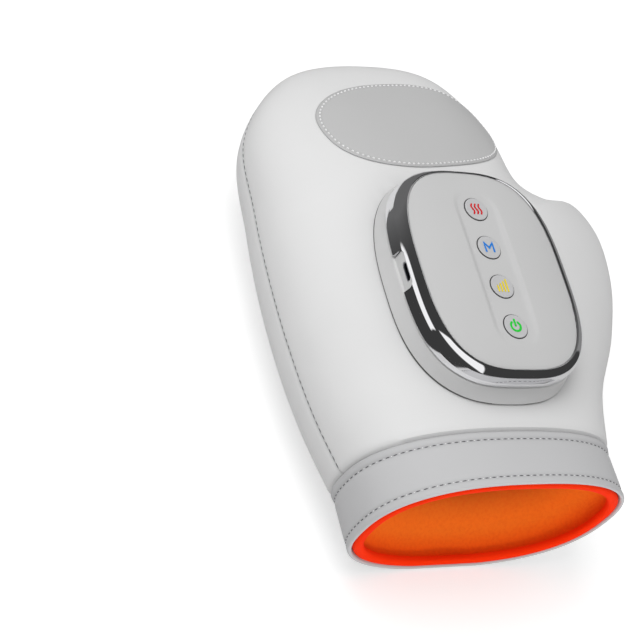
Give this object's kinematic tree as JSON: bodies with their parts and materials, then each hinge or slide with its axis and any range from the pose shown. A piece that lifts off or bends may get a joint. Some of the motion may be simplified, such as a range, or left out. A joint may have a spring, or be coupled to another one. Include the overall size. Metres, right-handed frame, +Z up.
{
  "type": "hand massager",
  "caption": "Cordless mitten-shaped hand massager in padded artificial leather, with a control pod on the back of the hand, an orange lining and a grey cuff.",
  "frame": {"origin": "on the flat palm side that it rests on, straight below the middle of the button row, at the plane of the cuff's lowest line", "axes": "+Z up out of the control pod, +Y to the fingertips with the wrist opening at -Y, +X to the thumb"},
  "size_m": [0.1894, 0.2467, 0.1028],
  "materials": {
    "cover_leather": "smooth satin artificial leather",
    "patch_leather": "smooth satin artificial leather",
    "cuff_leather": "smooth satin artificial leather",
    "orange_fabric": "soft brushed knit",
    "foam": "open cell padding",
    "bladder": "coated bladder fabric, satin",
    "film": "thin film, satin",
    "shell_plastic": "satin",
    "chrome": "mirror polish",
    "plate_plastic": "fine matt",
    "button_plastic": "satin",
    "steel": "plain zinc plated",
    "dark_plastic": "satin",
    "board": "solder mask",
    "cell": "shrink wrap",
    "rubber": "matt",
    "brass": "turned",
    "hose": "clear silicone, satin",
    "lead": "insulated wire"
  },
  "bodies": {
    "massager": {"cover_top": "cover_leather", "cover_bottom": "cover_leather", "finger_patch": "patch_leather", "cuff_band": "cuff_leather", "mouth_rim": "orange_fabric", "lining": "orange_fabric", "foam_top": "foam", "foam_bottom": "foam", "air_bag_hand_top": "bladder", "air_bag_hand_bottom": "bladder", "air_bag_fingers_top": "bladder", "air_bag_fingers_bottom": "bladder", "heating_film_top": "film", "heating_film_bottom": "film", "pod_base": "shell_plastic", "clamp_frame": "dark_plastic", "clamp_screw_1": "steel", "clamp_screw_2": "steel", "clamp_screw_3": "steel", "clamp_screw_4": "steel", "board_screw_1": "steel", "board_screw_2": "steel", "chrome_ring": "chrome", "face_plate": "plate_plastic", "main_board": "board", "switch_body_heat": "dark_plastic", "switch_body_mode": "dark_plastic", "switch_body_level": "dark_plastic", "switch_body_power": "dark_plastic", "usb_socket": "steel", "battery_cell": "cell", "motor_can": "steel", "motor_end_cap": "dark_plastic", "pump_housing": "dark_plastic", "pump_diaphragm": "rubber", "pump_head": "dark_plastic", "valve_body_fingers": "steel", "valve_body_palm": "steel", "hose_pump": "hose", "hose_valve_link": "hose", "hose_fingers": "hose", "hose_hand_link": "hose", "hose_fingers_link": "hose", "heater_lead_top": "lead", "heater_lead_bottom": "lead", "battery_lead": "lead", "motor_lead": "lead"},
    "heat_button": {"button_heat": "button_plastic", "switch_plunger_heat": "rubber"},
    "mode_button": {"button_mode": "button_plastic", "switch_plunger_mode": "rubber"},
    "level_button": {"button_level": "button_plastic", "switch_plunger_level": "rubber"},
    "power_button": {"button_power": "button_plastic", "switch_plunger_power": "rubber"},
    "pump_shaft": {"motor_rotor": "brass", "pump_crank": "brass"},
    "fingers_valve_plunger": {"valve_plunger_fingers": "brass"},
    "palm_valve_plunger": {"valve_plunger_palm": "brass"}
  },
  "joints": [
    {"name": "heat_press", "type": "slide", "parent": "massager", "child": "heat_button", "axis": [0, 0, -1], "range_m": [0, 0.0005], "stiffness_N_per_m": 2000, "springref_m": -0.0005},
    {"name": "mode_press", "type": "slide", "parent": "massager", "child": "mode_button", "axis": [0, 0, -1], "range_m": [0, 0.0005], "stiffness_N_per_m": 2000, "springref_m": -0.0005},
    {"name": "level_press", "type": "slide", "parent": "massager", "child": "level_button", "axis": [0, 0, -1], "range_m": [0, 0.0005], "stiffness_N_per_m": 2000, "springref_m": -0.0005},
    {"name": "power_press", "type": "slide", "parent": "massager", "child": "power_button", "axis": [0, 0, -1], "range_m": [0, 0.0005], "stiffness_N_per_m": 2000, "springref_m": -0.0005},
    {"name": "pump_spin", "type": "hinge", "parent": "massager", "child": "pump_shaft", "pos_m": [0.014, 0, 0.0811], "axis": [0, 1, 0], "continuous": true},
    {"name": "fingers_valve_lift", "type": "slide", "parent": "massager", "child": "fingers_valve_plunger", "axis": [0, 0, 1], "range_m": [0, 0.001], "stiffness_N_per_m": 200, "springref_m": -0.002},
    {"name": "palm_valve_lift", "type": "slide", "parent": "massager", "child": "palm_valve_plunger", "axis": [0, 0, 1], "range_m": [0, 0.001], "stiffness_N_per_m": 200, "springref_m": -0.002}
  ]
}
